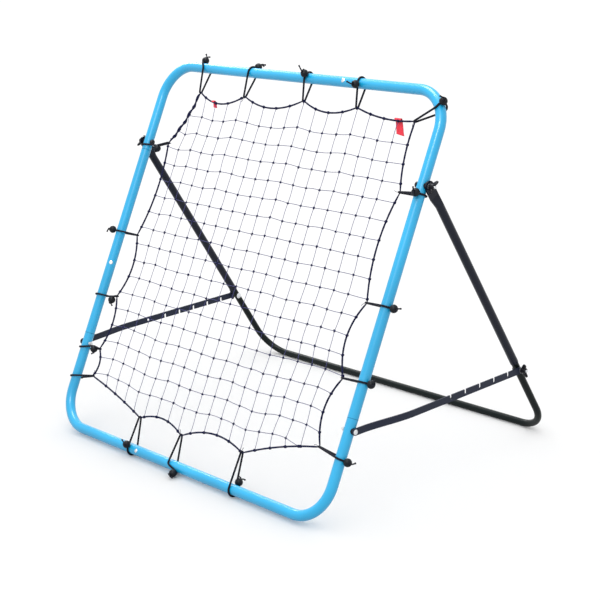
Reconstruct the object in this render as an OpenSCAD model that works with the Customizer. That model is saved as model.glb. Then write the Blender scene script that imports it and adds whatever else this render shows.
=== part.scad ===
// Pitch back rebounder: a leaning square frame of round tube with a bungee-hung net,
// a hinged U-shaped rear stand and two slotted brace bars.
// Origin: middle of the floor under the whole object. +X is right, +Y is back, +Z is up.

/* [Front frame] */
// Outer width of the front frame
frame_w = 1000; // [900:10:1100]
// Outer length of the front frame, measured along its lean
frame_l = 1000; // [960:10:1100]
// Outer diameter of the frame tube
frame_d = 25; // [22:0.5:28]
// Wall thickness of every tube
wall = 1.2; // [0.8:0.1:2]
// Radius of the frame corners, to the middle of the tube
frame_corner = 88; // [70:1:110]
// Lean of the frame back from upright, in degrees
frame_lean = 28; // [24:1:32]

/* [Stand] */
// Outer diameter of the upper legs
leg_d = 20; // [18:0.5:22]
// Radius of the stand corners, to the middle of the tube
stand_corner = 76; // [70:1:120]
// Height of the hinge along the frame, from the bottom tube
hinge_up = 763; // [740:1:790]
// Distance from the bottom frame tube back to the ground tube
stand_reach = 740; // [700:1:780]
// Distance between the side tube and the stand leg, axis to axis
leg_out = 23.5; // [23:0.5:26]
// Distance from the hinge down the leg to the clamp bolt
clamp_down = 568; // [540:1:590]

/* [Brace bars] */
// Height of the brace pivot along the frame, from the bottom tube
brace_up = 212; // [205:1:220]
// Width of the flat bar
bar_w = 16; // [14:1:20]
// Thickness of the flat bar
bar_t = 3; // [2:0.5:4]
// Number of slots in each bar
slot_count = 6; // [2:1:6]
// Distance from one slot to the next
slot_pitch = 50; // [30:1:50]

/* [Bungee loops and net] */
// Diameter of the elastic cord
bungee_d = 4.5; // [3:0.5:6]
// Diameter of the bungee balls
ball_d = 19; // [16:0.5:22]
// Diameter of the net's border cord
border_d = 4; // [3:0.5:5]
// Thickness of the net panel
net_t = 1.6; // [1:0.2:3]

/* [Fasteners] */
// Diameter of the bolts
bolt_d = 6; // [5:0.5:7]
// Running clearance of the moving pieces, on each side
gap = 0.3; // [0.3:0.05:0.5]

/* [Hidden] */
$fn = 48;

BLUE = "deepskyblue";
BLACK = "#20232b";
PLASTIC = "#161616";
ZINC = "silver";

// Middle of the frame tube
frame_r = frame_d / 2;
half_w = frame_w / 2 - frame_r;
side_l = frame_l - frame_d;
// A bungee loop runs round the tube with a little room
loop_r = frame_r + 0.4 + bungee_d / 2;
// The bottom loops lie between the frame and the floor
frame_z = loop_r + bungee_d / 2;
// Bungee balls rest on the tube
ball_out = frame_r + 0.5 + ball_d / 2;
// The front of the model is the ball of the middle bottom loop
front_ball_turn = 45;
front_reach = ball_out * sin(front_ball_turn + frame_lean) + ball_d / 2;

// Joints in the frame's swaged tubes, along the side
seam_low = brace_up + 26;
seam_high = hinge_up - 22;
neck_l = 50;
neck_slip = 0.1;
// The base tube slips into the upper legs
base_d = leg_d - 2 * wall - 4 * neck_slip;

// Side view, seen along X: [back, up] from the bottom frame tube's axis
hinge_yz = [hinge_up * sin(frame_lean), hinge_up * cos(frame_lean)];
pivot_yz = [brace_up * sin(frame_lean), brace_up * cos(frame_lean)];
ground_yz = [stand_reach, base_d / 2 - frame_z];
leg_l = norm(ground_yz - hinge_yz);
leg_angle = atan2(ground_yz[0] - hinge_yz[0], hinge_yz[1] - ground_yz[1]);
clamp_yz = hinge_yz + (ground_yz - hinge_yz) * clamp_down / leg_l;
brace_l = norm(clamp_yz - pivot_yz);
brace_angle = atan2(clamp_yz[1] - pivot_yz[1], clamp_yz[0] - pivot_yz[0]);
frame_y = -(stand_reach + base_d / 2 - front_reach) / 2;

// Sideways places, measured outwards from the side tube's axis
spacer_out = loop_r + bungee_d / 2 + 0.1;
flat_t = 4;
flat_in = spacer_out + gap;
flat_out = flat_in + flat_t;
hinge_washer_t = 1.2;
hinge_nut_in = flat_out + 2 * gap + hinge_washer_t;
leg_face = leg_out + base_d / 2;
bar_near = frame_r + 3.5 + gap;
collar_t = 1.5;
bar_far = leg_face + 0.5 + collar_t;
clamp_washer_t = 1.2;
clamp_nut_in = bar_far + bar_t + clamp_washer_t + gap;

// Stand leg, down from the hinge
flat_w = 26;
flat_l = 30;
flare_l = 24;
leg_seam = clamp_down - 22;

// Brace bar
bar_set_start = 12;
bar_set_end = 165;
bar_set_steps = 8;
bar_end = 15;
slot_w = bolt_d + 2 * gap;
bar_hole_d = 8;
bar_hole_at = 228;

// Wing nuts
hub_l = 11.5;
hub_r = 7.5;
wing_r = 7.5;
wing_t = 4.5;
bore_r = bolt_d / 2 + gap;

// Bungee loops: [x and height of the tube's middle, x and height of the net corner,
// ball's distance from the tube's middle, ball's angle from outwards to the front,
// ball's slip along the tube]
BALL = ball_out;
// How far round the upper right bend, from the side, its loop sits
corner_turn = 33;
CORNER_TUBE = [
    half_w - frame_corner * (1 - cos(corner_turn)), side_l - frame_corner * (1 - sin(corner_turn))
];
TOP_LOOPS = [
    [[-341, side_l], [-340, 912], BALL, -12, -23],
    [[-165, side_l], [-168, 914], BALL, -30, 0],
    [[38, side_l], [44, 920], BALL, 78, 5],
    [[217, side_l], [224, 918], BALL, 112, 0],
    [CORNER_TUBE, [412, 902], BALL, 33, -8]
];
RIGHT_LOOPS = [
    [[half_w, 742], [430, 740], BALL, 75, 0],
    [[half_w, 488], [430, 487], BALL, 0, 0],
    [[half_w, 318], [426, 315], BALL, 0, 0],
    [[half_w, 148], [419, 157], BALL, 0, 0]
];
BOTTOM_LOOPS = [
    [[198, 0], [190, 85], BALL, -148, 0],
    [[-27, 0], [-27, 72], BALL, front_ball_turn, -29],
    [[-186, 0], [-192, 77], BALL, 108, 0]
];
LEFT_LOOPS = [
    [[-half_w, 120], [-422, 135], BALL, -44, 0],
    [[-half_w, 198], [-428, 207], BALL + 14, 180, -2],
    [[-half_w, 342], [-424, 350], BALL + 24, 180, -11],
    [[-half_w, 515], [-418, 516], BALL, 45, 0],
    [[-half_w, 752], [-406, 768], BALL + 19, 180, -11]
];

// Net edge: every corner with the depth of the scallop that follows it, clockwise
NET_EDGE = [
    [[-340, 912], 26], [[-168, 914], 25], [[44, 920], 21], [[224, 918], 10],
    [[412, 902], 9], [[430, 740], 20], [[430, 487], 28], [[426, 315], 25],
    [[419, 157], 7], [[190, 85], 24], [[-27, 72], 20], [[-192, 77], 4],
    [[-422, 135], 14], [[-428, 207], 18], [[-424, 350], 23], [[-418, 516], 18],
    [[-406, 768], 10]
];
edge_steps = 5;
tip_gap = border_d / 2 + bungee_d / 2 + 1.2;

// Red ribbon tags on the net's top edge: [x and height, width, length]
LARGE_TAG = [[360, 902], 20, 36];
SMALL_TAG = [[-279, 891], 10, 16];

// ---------- shared shapes ----------

// Puts the leaning frame's own axes (X right, Y back, Z along the frame) in place
module lean() {
    translate([0, frame_y, frame_z]) rotate([-frame_lean, 0, 0]) children();
}

// Puts the stand's own axes in place: the hinge at the origin, the legs down -Z
module on_stand() {
    translate([0, frame_y + hinge_yz[0], frame_z + hinge_yz[1]])
        rotate([leg_angle, 0, 0]) children();
}

// Puts a brace bar's own axes in place: the pivot at the origin, the bar along +Y
module on_brace() {
    translate([0, frame_y + pivot_yz[0], frame_z + pivot_yz[1]])
        rotate([brace_angle, 0, 0]) children();
}

// A shape on the right, and its mirror image on the left
module both_sides() {
    children();
    mirror([1, 0, 0]) children();
}

// A rod along X, from one sideways place to another
module rod(from, to, r) {
    translate([from, 0, 0]) rotate([0, 90, 0]) cylinder(h = to - from, r = r);
}

// A quarter bend in the XZ plane, from +X to +Z
module bend(r, d) {
    rotate([90, 0, 0]) rotate_extrude(angle = 90) translate([r, 0]) circle(d = d);
}

// A solid U: a crossbar at z = 0 and two arms that reach down
module u_rod(half, arm, corner, d) {
    rod(-half + corner, half - corner, d / 2);
    both_sides() {
        translate([half - corner, 0, -corner]) bend(corner, d);
        translate([half, 0, -arm]) cylinder(h = arm - corner, d = d);
    }
}

module u_tube(half, arm, corner, d) {
    difference() {
        u_rod(half, arm, corner, d);
        u_rod(half, arm + 1, corner, d - 2 * wall);
    }
}

// ---------- front frame ----------

module frame_bores() {
    for (up = [hinge_up, brace_up])
        translate([0, 0, up]) rod(-half_w - frame_d, half_w + frame_d, bolt_d / 2 + 0.1);
}

module top_frame_section() {
    color(BLUE) lean() difference() {
        translate([0, 0, side_l]) u_tube(half_w, side_l - seam_high, frame_corner, frame_d);
        frame_bores();
        plug_holes();
    }
}

module bottom_frame_section() {
    color(BLUE) lean() difference() {
        mirror([0, 0, 1]) u_tube(half_w, seam_low, frame_corner, frame_d);
        frame_bores();
        plug_holes();
    }
}

// A side tube with a narrowed neck at each end, which slips into the U sections
module side_tube() {
    neck_d = frame_d - 2 * wall - 2 * neck_slip;
    difference() {
        union() {
            translate([0, 0, seam_low + 0.4]) cylinder(h = seam_high - seam_low - 0.8, d = frame_d);
            translate([0, 0, seam_low - neck_l])
                cylinder(h = seam_high - seam_low + 2 * neck_l, d = neck_d);
        }
        translate([0, 0, seam_low - neck_l - 1])
            cylinder(h = seam_high - seam_low + 2 * neck_l + 2, d = neck_d - 2 * wall);
    }
}

module left_side_tube() {
    color(BLUE) lean() difference() {
        translate([-half_w, 0, 0]) side_tube();
        frame_bores();
        plug_holes();
    }
}

module right_side_tube() {
    color(BLUE) lean() difference() {
        translate([half_w, 0, 0]) side_tube();
        frame_bores();
    }
}

// Plugged holes in the frame tube: [x, height along the frame, turn inwards from the front]
PLUGS = [[166, side_l, 0], [-half_w, 430, 45], [-156, 0, 0]];
plug_d = 7;

module at_plugs() {
    for (p = PLUGS) translate([p[0], 0, p[1]]) rotate([90, 0, p[2]]) children();
}

module plug_holes() {
    at_plugs() cylinder(h = frame_d, d = plug_d + 0.2);
}

module frame_hole_plugs() {
    color(ZINC) lean() at_plugs() {
        translate([0, 0, frame_r - 3]) cylinder(h = 3.4, d = plug_d);
        translate([0, 0, frame_r + 0.1]) cylinder(h = 1.1, d1 = plug_d + 3, d2 = plug_d);
    }
}

// ---------- hinges ----------

hinge_end = hinge_nut_in + hub_l + 2.5;

module hinge_bolts() {
    color(BLACK) lean() translate([0, 0, hinge_up]) both_sides() {
        rod(half_w - frame_r - 4.2, half_w - frame_r - 0.2, 7);
        rod(half_w - frame_r - 0.2, half_w + hinge_end, bolt_d / 2);
    }
}

// Saddle between the round side tube and the flat end of the leg
module hinge_spacers() {
    color(PLASTIC) lean() both_sides() difference() {
        translate([half_w, 0, hinge_up]) rod(frame_r * 0.6, spacer_out, 8.5);
        translate([half_w, 0, hinge_up - 20]) cylinder(h = 40, d = frame_d + 0.1);
        translate([half_w, 0, hinge_up]) rod(0, frame_d, bolt_d / 2 + 0.05);
    }
}

module ring(from, to, r) {
    difference() {
        rod(from, to, r);
        rod(from - 1, to + 1, bolt_d / 2 + 0.05);
    }
}

module hinge_washers() {
    color(ZINC) lean() translate([0, 0, hinge_up]) both_sides()
        ring(half_w + flat_out + gap, half_w + flat_out + gap + hinge_washer_t, 8);
}

// ---------- brace pivots on the frame ----------

pivot_head_in = bar_near + bar_t + gap;
// The domed head is a ball of this radius, cut off this far from its middle
pivot_head_r = 8;
pivot_head_cut = 5;

module brace_pivot_bolts() {
    color(ZINC) lean() translate([0, 0, brace_up]) both_sides() {
        rod(half_w - frame_r - 9, half_w + pivot_head_in, bolt_d / 2);
        intersection() {
            translate([half_w + pivot_head_in - pivot_head_cut, 0, 0]) sphere(r = pivot_head_r);
            rod(half_w + pivot_head_in, half_w + pivot_head_in + 4, pivot_head_r - 1);
        }
    }
}

module brace_pivot_spacers() {
    color(PLASTIC) lean() both_sides() difference() {
        translate([half_w, 0, brace_up]) rod(frame_r * 0.6, frame_r + 3.5, 7.5);
        translate([half_w, 0, brace_up - 20]) cylinder(h = 40, d = frame_d + 0.1);
        translate([half_w, 0, brace_up]) rod(0, frame_d, bolt_d / 2 + 0.05);
    }
}

module brace_pivot_nuts() {
    color(ZINC) lean() translate([0, 0, brace_up]) both_sides() difference() {
        translate([half_w - frame_r - 6, 0, 0]) rotate([0, 90, 0])
            cylinder(h = 5, d = 11.5, $fn = 6);
        rod(half_w - frame_d, half_w, bolt_d / 2 + 0.05);
    }
}

// ---------- bungee loops ----------

// One loop in its own plane: the tube's middle at the origin, the net corner at [span, 0],
// +Y to the back
module loop_cord(span, cord_r) {
    reach = span - tip_gap;
    open = acos(loop_r / reach);
    leg = sqrt(reach * reach - loop_r * loop_r);
    rotate([0, 0, open]) rotate_extrude(angle = 360 - 2 * open)
        translate([loop_r, 0]) circle(r = cord_r, $fn = 24);
    for (side = [-1, 1])
        rotate([0, 0, side * open]) translate([loop_r, 0, 0]) rotate([side * 90, 0, 0])
            cylinder(h = leg, r = cord_r, $fn = 24);
    translate([reach, 0, 0]) sphere(r = cord_r * 1.15, $fn = 24);
}

module at_loops(loops) {
    for (l = loops) {
        way = l[1] - l[0];
        translate([l[0][0], 0, l[0][1]]) rotate([0, -atan2(way[1], way[0]), 0]) {
            $span = norm(way);
            $ball = [-l[2] * cos(l[3]), -l[2] * sin(l[3]), l[4]];
            $ball_turn = 180 + l[3];
            $threaded = abs(l[3]) > 120;
            children();
        }
    }
}

module bungee_loops(loops) {
    color(PLASTIC) lean() at_loops(loops) loop_cord($span, bungee_d / 2);
}

// A ball threaded on its loop's leg, or else slotted over the cord where it rounds the tube
module bungee_balls(loops) {
    cord_room = bungee_d + 0.2;
    slot_bottom = loop_r + bungee_d / 2 + 1.6;
    color(PLASTIC) lean() at_loops(loops) difference() {
        translate($ball) rotate([0, 0, $ball_turn]) sphere(d = ball_d);
        if ($threaded)
            loop_cord($span, cord_room / 2);
        else
            rotate([0, 0, $ball_turn]) translate([0, -ball_d, -cord_room / 2])
                cube([slot_bottom, 2 * ball_d, cord_room]);
    }
}

module top_bungee_loops() bungee_loops(TOP_LOOPS);
module right_bungee_loops() bungee_loops(RIGHT_LOOPS);
module bottom_bungee_loops() bungee_loops(BOTTOM_LOOPS);
module left_bungee_loops() bungee_loops(LEFT_LOOPS);
module top_bungee_balls() bungee_balls(TOP_LOOPS);
module right_bungee_balls() bungee_balls(RIGHT_LOOPS);
module bottom_bungee_balls() bungee_balls(BOTTOM_LOOPS);
module left_bungee_balls() bungee_balls(LEFT_LOOPS);

// ---------- rear stand ----------

stand_half = half_w + leg_out;

// The upper leg: a flattened, drilled end, a flare and a round tube
module stand_leg() {
    tube_top = flat_l + flare_l;
    difference() {
        union() {
            rod(half_w + flat_in, half_w + flat_out, flat_w / 2);
            translate([half_w + flat_in, -flat_w / 2, -flat_l]) cube([flat_t, flat_w, flat_l]);
            hull() {
                translate([half_w + flat_in, -flat_w / 2, -flat_l])
                    cube([flat_t, flat_w, 0.5]);
                translate([stand_half, 0, -tube_top]) cylinder(h = 1, d = leg_d, $fn = 32);
            }
            translate([stand_half, 0, -leg_seam]) cylinder(h = leg_seam - tube_top, d = leg_d);
        }
        translate([stand_half, 0, -leg_seam - 1])
            cylinder(h = leg_seam + 1 - tube_top, d = leg_d - 2 * wall);
        rod(half_w, half_w + leg_face, bore_r);
    }
}

module left_stand_leg() { color(BLACK) on_stand() mirror([1, 0, 0]) stand_leg(); }
module right_stand_leg() { color(BLACK) on_stand() stand_leg(); }

// The U at the bottom of the stand, whose arms slip up into the legs
module stand_base_tube() {
    color(BLACK) on_stand() difference() {
        translate([0, 0, -leg_l]) mirror([0, 0, 1])
            u_tube(stand_half, leg_l - leg_seam + neck_l, stand_corner, base_d);
        both_sides() translate([0, 0, -clamp_down])
            rod(half_w, half_w + leg_face + 1, bolt_d / 2 + 0.1);
    }
}

// The inner half of each clamp bolt: a domed head and the shank through the base tube
module clamp_bolt_heads() {
    inner = stand_half - base_d / 2;
    color(ZINC) on_stand() translate([0, 0, -clamp_down]) both_sides() {
        rod(inner - 1, half_w + leg_face - 0.2, bolt_d / 2);
        intersection() {
            translate([inner - 0.3 + 7.7, 0, 0]) sphere(r = 11);
            rod(inner - 4.3, inner - 0.3, 8);
        }
    }
}

// ---------- brace bars ----------

// A flat bar with a gentle set outwards near its pivot, so that it clears the folding leg.
// The slots are open on the edge that open_up names: 1 the upper edge, -1 the lower edge.
module brace_bar(open_up, round_hole) {
    near = half_w + bar_near;
    far = half_w + bar_far;
    total = brace_l + bar_end;
    inner_side = [for (k = [0:bar_set_steps]) let (t = k / bar_set_steps)
        [near + (far - near) * t * t * (3 - 2 * t),
         bar_set_start + (bar_set_end - bar_set_start) * t]];
    outer_side = [for (k = [bar_set_steps:-1:0]) inner_side[k] + [bar_t, 0]];
    difference() {
        intersection() {
            translate([0, 0, -bar_w / 2]) linear_extrude(bar_w) polygon(concat(
                [[near, -bar_w]], inner_side, [[far, total + 1], [far + bar_t, total + 1]],
                outer_side, [[near + bar_t, -bar_w]]
            ));
            union() {
                rod(half_w, half_w + 100, bar_w / 2);
                translate([0, total - bar_w / 2, 0]) rod(half_w, half_w + 100, bar_w / 2);
                translate([half_w, 0, -bar_w / 2]) cube([100, total - bar_w / 2, bar_w]);
            }
        }
        rod(half_w, half_w + 100, bore_r);
        if (round_hole) translate([0, bar_hole_at, 0])
            rod(half_w, half_w + 100, bar_hole_d / 2);
        for (i = [0:slot_count - 1]) translate([0, brace_l - i * slot_pitch, 0]) {
            rod(half_w, half_w + 100, slot_w / 2);
            translate([half_w, -slot_w / 2, open_up > 0 ? 0 : -bar_w]) cube([100, slot_w, bar_w]);
        }
    }
}

// The outer half of a clamp bolt: a collar, and the thread through the slot
module clamp_stud() {
    translate([0, brace_l, 0]) {
        rod(half_w + leg_face + 0.5, half_w + bar_far - 0.02, 7.5);
        rod(half_w + leg_face + 0.5, half_w + clamp_nut_in + hub_l + 2.5, bolt_d / 2);
        difference() {
            rod(half_w + bar_far + bar_t + 0.02, half_w + clamp_nut_in - gap, 9);
            rod(half_w, half_w + 100, bolt_d / 2 + 0.05);
        }
    }
}

module left_brace_bar() { color(BLACK) on_brace() mirror([1, 0, 0]) brace_bar(-1, true); }
module right_brace_bar() { color(BLACK) on_brace() brace_bar(1, false); }
module left_clamp_stud() { color(ZINC) on_brace() mirror([1, 0, 0]) clamp_stud(); }
module right_clamp_stud() { color(ZINC) on_brace() clamp_stud(); }

// ---------- wing nuts ----------

// A wing nut on the X axis, from x = 0 outwards, turned by tilt
module wing_nut(tilt) {
    rotate([tilt, 0, 0]) difference() {
        union() {
            rotate([0, 90, 0]) cylinder(h = hub_l, r1 = hub_r, r2 = hub_r - 1);
            for (side = [0, 180]) rotate([side, 0, 0]) {
                translate([hub_l - 4, wing_t / 2, 10.5]) rotate([90, 0, 0])
                    cylinder(h = wing_t, r = wing_r);
                translate([1.5, -wing_t / 2, 0]) cube([hub_l - 3, wing_t, 10.5]);
            }
        }
        rod(-1, hub_l + 10, bore_r);
    }
}

hinge_nut_turn = -20;
clamp_nut_turn = 12;

module hinge_wing_nut() {
    lean() translate([half_w + hinge_nut_in, 0, hinge_up]) wing_nut(hinge_nut_turn);
}

module clamp_wing_nut() {
    on_brace() translate([half_w + clamp_nut_in, brace_l, 0]) wing_nut(clamp_nut_turn);
}

module left_hinge_wing_nut() { color(PLASTIC) mirror([1, 0, 0]) hinge_wing_nut(); }
module right_hinge_wing_nut() { color(PLASTIC) hinge_wing_nut(); }
module left_clamp_wing_nut() { color(PLASTIC) mirror([1, 0, 0]) clamp_wing_nut(); }
module right_clamp_wing_nut() { color(PLASTIC) clamp_wing_nut(); }

// ---------- net ----------

edge_count = len(NET_EDGE);

// A point of the scalloped edge: scallop i, part t of the way along it
function edge_point(i, t) =
    let (a = NET_EDGE[i][0], b = NET_EDGE[(i + 1) % edge_count][0],
         way = (b - a) / norm(b - a), depth = NET_EDGE[i][1] * 4 * t * (1 - t))
    a + (b - a) * t + [way[1], -way[0]] * depth;

EDGE = [for (i = [0:edge_count - 1], k = [0:edge_steps - 1]) edge_point(i, k / edge_steps)];

// A closed tube of radius r along a flat loop of points in the XZ plane
module closed_cord(path, r, sides = 8) {
    n = len(path);
    rings = [for (i = [0:n - 1], s = [0:sides - 1])
        let (before = path[(i + n - 1) % n], after = path[(i + 1) % n],
             way = (after - before) / norm(after - before), turn = 360 * (s + 0.5) / sides,
             out = r / cos(180 / sides) * cos(turn))
        [path[i][0] + way[1] * out, r * sin(turn), path[i][1] - way[0] * out]];
    faces = [for (i = [0:n - 1], s = [0:sides - 1])
        let (j = (i + 1) % n, t = (s + 1) % sides)
        [i * sides + s, i * sides + t, j * sides + t, j * sides + s]];
    polyhedron(points = rings, faces = faces);
}

module net_border_cord() {
    color(BLACK) lean() closed_cord(EDGE, border_d / 2);
}

module net_panel() {
    color("dimgray") lean() translate([0, net_t / 2, 0]) rotate([90, 0, 0])
        linear_extrude(net_t) offset(delta = -border_d / 2 - 0.4) polygon(EDGE);
}

// A ribbon tag that hangs straight down behind the net from its border
module ribbon_tag(tag) {
    color("crimson") lean() translate([tag[0][0], border_d / 2 + 0.6, tag[0][1]])
        rotate([frame_lean, 0, 0]) translate([-tag[1] / 2, 0, -tag[2]])
            cube([tag[1], 1, tag[2]]);
}

module large_ribbon_tag() ribbon_tag(LARGE_TAG);
module small_ribbon_tag() ribbon_tag(SMALL_TAG);

top_frame_section();
bottom_frame_section();
left_side_tube();
right_side_tube();
frame_hole_plugs();
hinge_bolts();
hinge_spacers();
hinge_washers();
brace_pivot_bolts();
brace_pivot_spacers();
brace_pivot_nuts();
top_bungee_loops();
right_bungee_loops();
bottom_bungee_loops();
left_bungee_loops();
top_bungee_balls();
right_bungee_balls();
bottom_bungee_balls();
left_bungee_balls();
left_stand_leg();
right_stand_leg();
stand_base_tube();
clamp_bolt_heads();
left_brace_bar();
right_brace_bar();
left_clamp_stud();
right_clamp_stud();
left_hinge_wing_nut();
right_hinge_wing_nut();
left_clamp_wing_nut();
right_clamp_wing_nut();
net_panel();
net_border_cord();
large_ribbon_tag();
small_ribbon_tag();
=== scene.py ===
import math
import random

import bpy
from mathutils import Matrix, Vector


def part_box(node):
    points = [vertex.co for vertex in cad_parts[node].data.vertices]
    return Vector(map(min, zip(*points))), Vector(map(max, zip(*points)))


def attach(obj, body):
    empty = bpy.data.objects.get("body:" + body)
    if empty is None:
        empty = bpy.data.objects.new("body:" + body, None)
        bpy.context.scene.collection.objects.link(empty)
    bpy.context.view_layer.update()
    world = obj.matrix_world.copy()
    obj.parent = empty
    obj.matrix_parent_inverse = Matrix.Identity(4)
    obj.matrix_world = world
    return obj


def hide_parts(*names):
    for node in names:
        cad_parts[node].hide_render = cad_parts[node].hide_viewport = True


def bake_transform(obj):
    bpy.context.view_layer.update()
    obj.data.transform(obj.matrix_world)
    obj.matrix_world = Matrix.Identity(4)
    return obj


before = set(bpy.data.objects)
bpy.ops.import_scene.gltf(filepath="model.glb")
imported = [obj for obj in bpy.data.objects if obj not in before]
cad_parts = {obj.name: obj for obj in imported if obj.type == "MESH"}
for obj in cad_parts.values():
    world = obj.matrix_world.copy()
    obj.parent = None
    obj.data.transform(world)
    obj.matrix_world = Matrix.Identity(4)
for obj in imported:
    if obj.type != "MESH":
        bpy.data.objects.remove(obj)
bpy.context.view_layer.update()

# The looks of a pitch back rebounder. A leaning tube frame holds a net by elastic ball
# loops, and a rear stand with two slotted brace bars props it up.
# Lengths are in metres in the model's own frame: +X right, +Y back, +Z up. Places on the
# leaning frame are in millimetres, as (across, up the frame).

MM = 0.001
dice = random.Random(7)

# ---------- driving sizes, the same as the CAD part's ----------

LEAN = math.radians(28)
TUBE_R = 12.5 * MM
# Where the middles of the side tubes and the top tube lie and the bend radius of the
# frame's corners, in mm
SIDE_AT = 487.5
TOP_AT = 975
FRAME_CORNER = 88
CORD_R = 2.4 * MM
LOOP_R = TUBE_R + CORD_R + 0.25 * MM
HITCH_R = 3.4 * MM
BALL_R = 9.5 * MM
BALL_OUT = 22.5 * MM
BOLT_R = 3.0 * MM
# The bolts' thread pitch and the length of a wing nut's hub, in mm
THREAD_PITCH = 1.0
HUB_L = 11.3

# ---------- places taken from the frame ----------

bottom_low, bottom_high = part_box("bottom_frame_section")
top_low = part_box("top_frame_section")[0]
side_low, side_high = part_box("right_side_tube")
FRAME_Y = bottom_low.y + TUBE_R
FRAME_Z = bottom_low.z + TUBE_R
HALF_W = (side_low.x + side_high.x) / 2


def lean_way(across, back, up):
    """A direction on the leaning frame, in the model's frame."""
    return Vector((
        across,
        up * math.sin(LEAN) + back * math.cos(LEAN),
        up * math.cos(LEAN) - back * math.sin(LEAN),
    ))


def lean_place(across, back, up):
    """A place on the leaning frame, in the model's frame."""
    return Vector((0, FRAME_Y, FRAME_Z)) + lean_way(across, back, up)


# ---------- camera, light and floor ----------

def look_matrix(place, yaw, pitch, roll):
    """The matrix of a camera at place that looks yaw round, pitch down and roll over."""
    ahead = Vector((
        -math.sin(yaw) * math.cos(pitch),
        math.cos(yaw) * math.cos(pitch),
        -math.sin(pitch),
    ))
    right = Vector((math.cos(yaw), math.sin(yaw), 0))
    up = right.cross(ahead)
    across = right * math.cos(roll) + up * math.sin(roll)
    upward = up * math.cos(roll) - right * math.sin(roll)
    turned = Matrix((across, upward, -ahead)).transposed()
    return Matrix.Translation(place) @ turned.to_4x4()


CAMERA_PLACE = Vector((2.6445, -2.3075, 1.4066))
CAMERA_LENS = 89.3
CAMERA_YAW = math.radians(48.17)
CAMERA_PITCH = math.radians(16.9)
CAMERA_ROLL = math.radians(-3.7)


def make_camera():
    """The camera that sees the part as the reference view shows it."""
    camera = bpy.data.cameras.new("camera")
    camera.sensor_width = 36
    camera.lens = CAMERA_LENS
    holder = bpy.data.objects.new("camera", camera)
    holder.matrix_world = look_matrix(CAMERA_PLACE, CAMERA_YAW, CAMERA_PITCH, CAMERA_ROLL)
    bpy.context.scene.collection.objects.link(holder)
    bpy.context.scene.camera = holder


# What the lamps light: all but the floor, which the even sky alone keeps just white
lamp_receivers = bpy.data.collections.new("lamp_receivers")


def make_lamp(name, place, aim, size, watts):
    """A square area lamp at place that faces aim."""
    lamp = bpy.data.lights.new(name, "AREA")
    lamp.size = size
    lamp.energy = watts
    holder = bpy.data.objects.new(name, lamp)
    holder.location = place
    holder.rotation_euler = (Vector(aim) - Vector(place)).to_track_quat("-Z", "Y").to_euler()
    holder.light_linking.receiver_collection = lamp_receivers
    bpy.context.scene.collection.objects.link(holder)


def make_light():
    """An even white sky and three soft lamps."""
    world = bpy.data.worlds.new("studio")
    world.use_nodes = True
    sky = world.node_tree.nodes["Background"]
    sky.inputs["Color"].default_value = (1, 1, 1, 1)
    sky.inputs["Strength"].default_value = 1.12
    bpy.context.scene.world = world
    bpy.context.scene.view_settings.view_transform = "Standard"
    make_lamp("key", (1.6, -2.6, 3.6), (0, 0, 0.4), 1.2, 110)
    make_lamp("top", (-0.8, 0.4, 4.0), (0, 0, 0.4), 1.8, 120)
    make_lamp("rim", (-2.8, 1.2, 2.2), (0, 0, 0.5), 1.0, 30)


# ---------- material helpers ----------

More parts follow.
